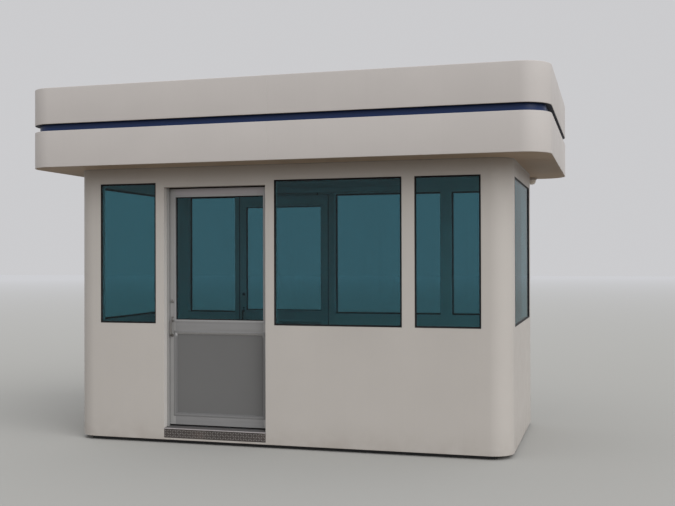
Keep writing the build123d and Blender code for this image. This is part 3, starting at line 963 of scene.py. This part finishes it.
def gaskets():
    """Rubber rings with a nose just proud of the wall and a lip down on to the glass."""
    lip_rise = -pane_setback + GASKET_CLEARANCE
    profile = [(0.0, -gasket_depth), (0.0, 0.0)]
    profile += [(gasket_width * across, GASKET_NOSE * up) for across, up in GASKET_NOSE_SHAPE]
    profile += [
        (gasket_width * across, -pane_setback * down) for across, down in GASKET_SLOPE_SHAPE
    ]
    profile += [(gasket_width + GASKET_LIP, lip_rise), (gasket_width, lip_rise),
                (gasket_width, -gasket_depth)]
    shape = Shape()
    for low, high in front_windows:
        rectangle = (low.x, high.x, low.z, high.z)
        shape.add(mitred(on_front(-half_depth, -1), rectangle, profile))
    shape.add(shape.opposite())
    low, high = end_window
    for side in (-1, 1):
        rectangle = (low.y, high.y, low.z, high.z)
        shape.add(mitred(on_end(side * half_length, side), rectangle, profile))
    make(shape, "glazing_rubbers", "gasket_rubber", replaces=("window_gaskets",), sharp=50)


# Door leaves
class Trim:
    """Piece of the front leaf that has a twin on the rear leaf."""

    def __init__(self, shape, name, slot=None, finish=None, replaces=(), **more):
        self.shape = shape
        self.name = name
        self.slot = slot
        self.finish = finish
        self.replaces = replaces
        self.more = more

    def make_for(self, row):
        shape = self.shape if row == "front" else self.shape.opposite()
        make(shape, f"{row}_{self.name}", self.slot, self.finish, f"{row}_door",
             [f"{row}_{node}" for node in self.replaces], **self.more)


def make_trims(*trims):
    """Make the front leaf's trims, and then the rear leaf's."""
    for row in ("front", "rear"):
        for trim in trims:
            trim.make_for(row)


def door_openings():
    """Glass and panel openings of the front leaf, and how deep each sheet lies under the face."""
    stiles = solid_boxes("front_door_stiles")
    rails = sorted(solid_boxes("front_door_rails"), key=lambda box: box[0].z)
    left, right = stiles[0][1].x, stiles[1][0].x
    face = stiles[0][0].y
    glass_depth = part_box("front_door_glass")[0].y - face
    panel_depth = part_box("front_door_panel")[0].y - face
    return (
        ((left, right, rails[1][1].z, rails[2][0].z), glass_depth, True),
        ((left, right, rails[0][1].z, rails[1][0].z), panel_depth, False),
    )


def bead_section(foot, slope_end, depth):
    """Flat bead with a groove at its outer edge, and its inner edge down to the sheet."""
    return [
        (BEAD_GROOVE, 0.0), (BEAD_GROOVE, BEAD_RISE * 0.6),
        (BEAD_GROOVE + BEAD_RISE * 0.6, BEAD_RISE), (BEAD_WIDTH * 0.9, BEAD_RISE),
        (BEAD_WIDTH, BEAD_RISE * 0.4), (foot, slope_end), (foot, -depth),
        (BEAD_WIDTH, -depth), (BEAD_WIDTH, 0.0),
    ]


def wedge_section(foot, depth):
    """Rubber wedge between the bead and the glass."""
    return [
        (foot, -depth), (foot, -depth + WEDGE_HEIGHT),
        (foot + WEDGE_WIDTH * 0.6, -depth + WEDGE_HEIGHT * 0.9),
        (foot + WEDGE_WIDTH, -depth + WEDGE_HEIGHT * 0.3), (foot + WEDGE_WIDTH, -depth),
    ]


def door_trims():
    """Beads and rubbers on both faces of each leaf. Only the panel's beads slope down to it."""
    glass_beads, panel_beads, wedges = Shape(), Shape(), Shape()
    for face, outward in ((leaf_low.y, -1), (leaf_high.y, 1)):
        to_place = on_front(face, outward)
        for (left, right, low, high), depth, glazed in door_openings():
            outer = (left - BEAD_WIDTH, right + BEAD_WIDTH, low - BEAD_WIDTH, high + BEAD_WIDTH)
            if glazed:
                foot = BEAD_WIDTH + BEAD_NOSE
                section = bead_section(foot, -BEAD_RISE, depth)
                glass_beads.add(mitred(to_place, outer, section))
                wedges.add(mitred(to_place, outer, wedge_section(foot, depth)))
            else:
                section = bead_section(BEAD_WIDTH + BEAD_SLOPE, -depth, depth)
                panel_beads.add(mitred(to_place, outer, section, second=(BEAD_SLOPE_STRIP,)))
    make_trims(
        Trim(glass_beads, "glass_beads", "door_aluminium", bead_finish, sharp=35),
        Trim(panel_beads, "panel_beads", "door_aluminium", shaded_panel_bead_finish, sharp=35,
             others=(slope_lit_top_finish,)),
        Trim(wedges, "door_rubbers", "gasket_rubber", sharp=50),
    )


def door_sweeps():
    """Black pile strip under each leaf's outer edge, just clear of the threshold."""
    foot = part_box("thresholds")[1].z + SWEEP_GAP
    outer, inner = leaf_low.y, leaf_low.y + BRUSH_DEPTH
    profile = [
        (outer, leaf_low.z), (outer, foot + BRUSH_DEPTH * 0.4),
        (outer + BRUSH_DEPTH * 0.2, foot), (outer + BRUSH_DEPTH * 0.8, foot),
        (inner, foot + BRUSH_DEPTH * 0.4), (inner, leaf_low.z),
    ]
    shape = Shape().extruded(profile, (leaf_low.x, leaf_high.x))
    make_trims(Trim(shape, "door_sweep", finish=pile_and_keyway_shade_finish, sharp=40))


def pull_roses():
    """Flat discs under both ends of the pulls."""
    pull_low, pull_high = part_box("front_door_pull")
    pull_x = (pull_low.x + pull_high.x) / 2
    shape = Shape()
    for face, outward in ((leaf_low.y, -1), (leaf_high.y, 1)):
        for z in (pull_low.z + PULL_HALF_BAR, pull_high.z - PULL_HALF_BAR):
            shape.lathe((pull_x, face, z), (0, outward, 0), [
                (ROSE_RADIUS, 0.0), (ROSE_RADIUS, ROSE_HEIGHT * 0.6),
                (ROSE_RADIUS * 0.9, ROSE_HEIGHT), (ROSE_BORE, ROSE_HEIGHT),
            ])
    return shape


def lock_cylinders():
    """Turned cylinder with a plug on each face of the leaf, and the plugs' keyways, drawn as thin
    black boxes of painted shade.
    """
    cylinders, keyways = Shape(), Shape()
    for low, high in solid_boxes("front_door_lock"):
        outward = -1 if low.y < (leaf_low.y + leaf_high.y) / 2 else 1
        face = leaf_low.y if outward < 0 else leaf_high.y
        rise = (high.y - face) if outward > 0 else (face - low.y)
        radius = (high.x - low.x) / 2
        centre = ((low.x + high.x) / 2, face, (low.z + high.z) / 2)
        plug = radius * LOCK_PLUG_SHARE
        plug_rise = rise * LOCK_PLUG_RISE
        cylinders.lathe(centre, (0, outward, 0), [
            (radius, 0.0), (radius, rise * 0.45), (radius * 0.93, rise * 0.8),
            (radius * 0.8, rise), (plug * 1.12, rise), (plug * 1.06, rise * 0.86),
            (plug, rise * 0.86), (plug * 0.95, plug_rise), (plug * 0.3, plug_rise),
        ])
        tip = face + outward * plug_rise
        half_slot = plug * KEYWAY_LENGTH_SHARE
        keyways.box(
            (centre[0] - KEYWAY_WIDTH / 2, tip - KEYWAY_HALF_DEPTH, centre[2] - half_slot),
            (centre[0] + KEYWAY_WIDTH / 2, tip + KEYWAY_HALF_DEPTH, centre[2] + half_slot),
        )
    return cylinders, keyways


def door_hardware():
    cylinders, keyways = lock_cylinders()
    make_trims(
        Trim(pull_roses(), "pull_roses", "hardware_steel"),
        Trim(cylinders, "lock_cylinders", "hardware_steel", lock_finish, ("door_lock",)),
        Trim(keyways, "keyways", finish=pile_and_keyway_shade_finish),
    )


# Doorway foot
def tread_mark(x, z, lean):
    """Rings of an oval mark that leans to one side and stands proud of the front plate."""
    rings = []
    for share, rise in ((1.0, -TREAD_MARK_ROOT), (0.92, TREAD_MARK_HEIGHT * 0.7),
                        (0.6, TREAD_MARK_HEIGHT)):
        ring = []
        for side in range(TREAD_MARK_SIDES):
            turn = 2 * math.pi * side / TREAD_MARK_SIDES
            lengthwise = math.cos(turn) * TREAD_MARK_LENGTH / 2 * share
            sideways = math.sin(turn) * TREAD_MARK_WIDTH / 2 * share
            ring.append((x + lengthwise * math.cos(lean) - sideways * math.sin(lean),
                         tread_low.y - rise,
                         z + lengthwise * math.sin(lean) + sideways * math.cos(lean)))
        rings.append(ring)
    return rings


def tread_plates():
    """Plates with raised marks that lean by turns to either side."""
    columns = int((tread_high.x - tread_low.x) / TREAD_PITCH)
    rows = int((tread_high.z - tread_low.z) / TREAD_PITCH)
    start_x = (tread_low.x + tread_high.x - (columns - 1) * TREAD_PITCH) / 2
    start_z = (tread_low.z + tread_high.z - (rows - 1) * TREAD_PITCH) / 2
    marks = Shape()
    for column in range(columns):
        for row in range(rows):
            lean = math.pi / 4 * (1 if (column + row) % 2 else -1)
            marks.rings(tread_mark(start_x + column * TREAD_PITCH, start_z + row * TREAD_PITCH,
                                   lean))
    plate = Shape().box(tread_low, tread_high)
    plate.add(marks, 1)
    plate.add(plate.opposite())
    make(plate, "tread_sheets", "tread_metal", replaces=("tread_plates",), sharp=45,
         others=(mark_finish,))


def thresholds():
    """Fluted slopes with a round nosing, from the tread plate to behind the leaf."""
    low, high = front_box("thresholds")
    front_top = low.z + SILL_FRONT_HEIGHT
    nose = SILL_NOSE_RADIUS
    length = inner_face - low.y

    def on_slope(share, depth=0.0):
        return (low.y + length * share, front_top + (high.z - front_top) * share - depth)

    flutes = []
    for flute in range(FLUTE_COUNT):
        middle = FLUTE_FIRST + (FLUTE_LAST - FLUTE_FIRST) * flute / (FLUTE_COUNT - 1)
        half = FLUTE_WIDTH / 2 / length
        flutes += [
            on_slope(middle - half), on_slope(middle - half * 0.5, FLUTE_DEPTH),
            on_slope(middle + half * 0.5, FLUTE_DEPTH), on_slope(middle + half),
        ]
    profile = [(high.y, low.z), (high.y, high.z - SILL_BACK_EDGE),
               (high.y - SILL_BACK_EDGE, high.z), on_slope(1.0), *reversed(flutes)]
    nosing_start = len(profile)
    profile += [on_slope(NOSING_SHARE), on_slope(nose / length),
                (low.y + nose * 0.3, front_top - nose * 0.3), (low.y, front_top - nose),
                (low.y, low.z)]
    shape = Shape().extruded(profile, (low.x, high.x), range(nosing_start, len(profile) - 1))
    shape.add(shape.opposite())
    # The slope takes painted shade and the nosing a painted highlight
    make(shape, "threshold_plates", "door_aluminium", sill_shade_finish,
         replaces=("thresholds",), sharp=25, others=(nose_highlight_finish,))


def head_brushes():
    """Black pile strip along the inner edge of each door head, down to the leaf's face."""
    inner, outer = inner_face, inner_face - BRUSH_DEPTH
    foot = door_head_z - BRUSH_DROP
    profile = [
        (outer, door_head_z), (outer, door_head_z - BRUSH_DROP * 0.35),
        (outer + BRUSH_DEPTH * 0.2, foot), (inner - BRUSH_DEPTH * 0.2, foot),
        (inner, door_head_z - BRUSH_DROP * 0.35), (inner, door_head_z),
    ]
    shape = Shape().extruded(profile, (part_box("strike_jambs")[1].x, doorway[1]))
    shape.add(shape.opposite())
    make(shape, "head_brushes", finish=pile_and_keyway_shade_finish, sharp=40)


def soffit_light():
    """Round housing with a ring and an opal lens."""
    low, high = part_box("soffit_light")
    centre = ((low.x + high.x) / 2, (low.y + high.y) / 2, high.z)
    radius = (high.x - low.x) / 2
    drop = high.z - low.z
    lens_radius = radius * LENS_RADIUS_SHARE
    housing = Shape().lathe(centre, (0, 0, -1), [
        (radius, 0.0), (radius, drop * 0.22), (radius * 0.97, drop * 0.27),
        (radius * 0.9, drop * 0.3), (radius * 0.9, drop * 0.36),
        (lens_radius, drop * LENS_RIM_SHARE),
    ], LIGHT_SIDES)
    make(housing, "soffit_light_base", "light_housing", finishes["canopy_paint"],
         replaces=("soffit_light",))
    lens = [(lens_radius, drop * LENS_FOOT_SHARE)]
    for turn in map(math.radians, range(0, 90, LENS_STEP)):
        lens.append((lens_radius * math.cos(turn) ** LENS_FULLNESS,
                     drop * (LENS_RIM_SHARE + (1 - LENS_RIM_SHARE) * math.sin(turn))))
    make(Shape().lathe(centre, (0, 0, -1), lens, LIGHT_SIDES), "soffit_light_lens",
         "light_housing", sharp=60)


# Stage
def floor():
    """Floor that looks pale, and throws back as little light as paving does."""
    bpy.ops.mesh.primitive_plane_add(size=FLOOR_SIZE, location=(0, 0, 0))
    ground = bpy.context.object
    ground.name = "floor"
    look = Look("stage_floor")
    away = look.add("ShaderNodeVectorMath", operation="LENGTH")
    look.link(look.place(), away.inputs[0])
    pale = look.mixed(look.ranged(away.outputs["Value"], *FLOOR_FADE), FLOOR_SEEN, FLOOR_FAR)
    look.feed("Base Color", look.mixed(look.seen_ray(), FLOOR_BOUNCE, pale))
    look.set("Roughness", 1.0)
    look.set("Specular IOR Level", 0.0)
    ground.data.materials.append(look.material)


def sky():
    """Soft light from all round, with a pale grey backdrop where the camera looks."""
    world = bpy.data.worlds.new("studio")
    bpy.context.scene.world = world
    world.use_nodes = True
    made = Nodes(world.node_tree)
    light = made.tree.nodes["Background"]
    light.inputs["Color"].default_value = with_alpha(SKY_LIGHT)
    light.inputs["Strength"].default_value = SKY_STRENGTH
    seen = made.add("ShaderNodeBackground")
    seen.inputs["Color"].default_value = with_alpha(SKY_SEEN)
    choice = made.add("ShaderNodeMixShader")
    made.link(made.seen_ray(), choice.inputs["Fac"])
    made.link(light.outputs["Background"], choice.inputs[1])
    made.link(seen.outputs["Background"], choice.inputs[2])
    made.link(choice.outputs["Shader"], made.tree.nodes["World Output"].inputs["Surface"])


def key_light():
    """Broad soft light from the front right."""
    lamp = bpy.data.lights.new("key", "SUN")
    lamp.angle = math.radians(KEY_WIDTH)
    lamp.energy = KEY_STRENGTH
    key = bpy.data.objects.new("key", lamp)
    bpy.context.scene.collection.objects.link(key)
    turn, rise = math.radians(KEY_TURN), math.radians(KEY_RISE)
    source = Vector((
        math.sin(turn) * math.cos(rise),
        -math.cos(turn) * math.cos(rise),
        math.sin(rise),
    ))
    key.rotation_euler = (-source).to_track_quat("-Z", "Y").to_euler()


def camera():
    """Camera at the photograph's place, from its yaw to the left, pitch and roll."""
    forward = Vector((
        -math.sin(CAMERA_YAW) * math.cos(CAMERA_PITCH),
        math.cos(CAMERA_YAW) * math.cos(CAMERA_PITCH),
        math.sin(CAMERA_PITCH),
    ))
    level = Vector((math.cos(CAMERA_YAW), math.sin(CAMERA_YAW), 0))
    rise = level.cross(forward)
    right = level * math.cos(CAMERA_ROLL) + rise * math.sin(CAMERA_ROLL)
    up = right.cross(forward)
    turn = Matrix((right, up, -forward)).transposed()
    lens = bpy.data.cameras.new("camera")
    lens.sensor_width = SENSOR_WIDTH
    lens.lens = SENSOR_WIDTH * FOCAL_PIXELS / PHOTO_WIDTH
    view = bpy.data.objects.new("camera", lens)
    bpy.context.scene.collection.objects.link(view)
    view.matrix_world = Matrix.Translation(CAMERA_PLACE) @ turn.to_4x4()
    bpy.context.scene.camera = view


wall_shell()
canopy_bands()
soffit_trims()
roof()
gaskets()
door_trims()
door_sweeps()
door_hardware()
tread_plates()
thresholds()
head_brushes()
soffit_light()
for row in ("front", "rear"):
    for node in ("door_stiles", "door_rails", "door_pull", "door_hangers", "door_track"):
        soften(f"{row}_{node}", LEAF_EDGE)
soften("strike_jambs", JAMB_EDGE)
soften("base_skids", SKID_EDGE)
floor()
sky()
key_light()
camera()
bpy.context.scene.view_settings.view_transform = "Standard"
